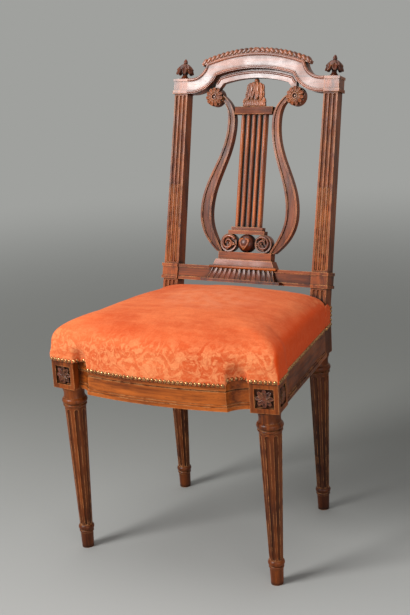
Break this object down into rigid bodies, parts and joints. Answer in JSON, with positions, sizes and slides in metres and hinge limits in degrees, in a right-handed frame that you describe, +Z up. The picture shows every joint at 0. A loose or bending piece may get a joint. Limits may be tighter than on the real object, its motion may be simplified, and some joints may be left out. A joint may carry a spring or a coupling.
{
  "type": "side chair",
  "caption": "Neoclassical wooden side chair with a pierced lyre back, fluted tapering legs, a bowed front rail and an overstuffed velvet seat edged with brass nails.",
  "frame": {"origin": "on the floor, below the middle of the chair's bounding box", "axes": "+X to the right of someone who faces the chair, +Y from the front rail to the back, +Z up"},
  "size_m": [0.473, 0.5158, 0.9196],
  "materials": {
    "stained_wood": "waxed",
    "inner_wood": "raw",
    "velvet": "cut pile",
    "stuffing": "matte",
    "base_cloth": "plain weave",
    "webbing": "twill",
    "brass": "aged"
  },
  "bodies": {
    "root": {"base_cloth": "base_cloth", "brass_nails": "brass", "corner_block_front_left": "inner_wood", "corner_block_front_right": "inner_wood", "corner_block_rear_left": "inner_wood", "corner_block_rear_right": "inner_wood", "crest_rail": "stained_wood", "crest_rope": "stained_wood", "finial_left": "stained_wood", "finial_right": "stained_wood", "front_leg_left": "stained_wood", "front_leg_right": "stained_wood", "front_seat_rail": "stained_wood", "joint_pegs": "inner_wood", "lower_back_rail": "stained_wood", "lyre_arm_left": "stained_wood", "lyre_arm_right": "stained_wood", "lyre_ball": "stained_wood", "lyre_base": "stained_wood", "lyre_crown": "stained_wood", "lyre_plinth": "stained_wood", "lyre_rosette_left": "stained_wood", "lyre_rosette_right": "stained_wood", "lyre_scroll_left": "stained_wood", "lyre_scroll_right": "stained_wood", "lyre_string_1": "stained_wood", "lyre_string_2": "stained_wood", "lyre_string_3": "stained_wood", "lyre_string_4": "stained_wood", "lyre_string_5": "stained_wood", "lyre_yoke": "stained_wood", "rear_post_left": "stained_wood", "rear_post_right": "stained_wood", "rear_seat_rail": "stained_wood", "seat_cover": "velvet", "seat_stuffing": "stuffing", "side_seat_rail_left": "stained_wood", "side_seat_rail_right": "stained_wood", "string_plinth": "stained_wood", "webbing_crosswise": "webbing", "webbing_lengthwise": "webbing"}
  },
  "joints": []
}
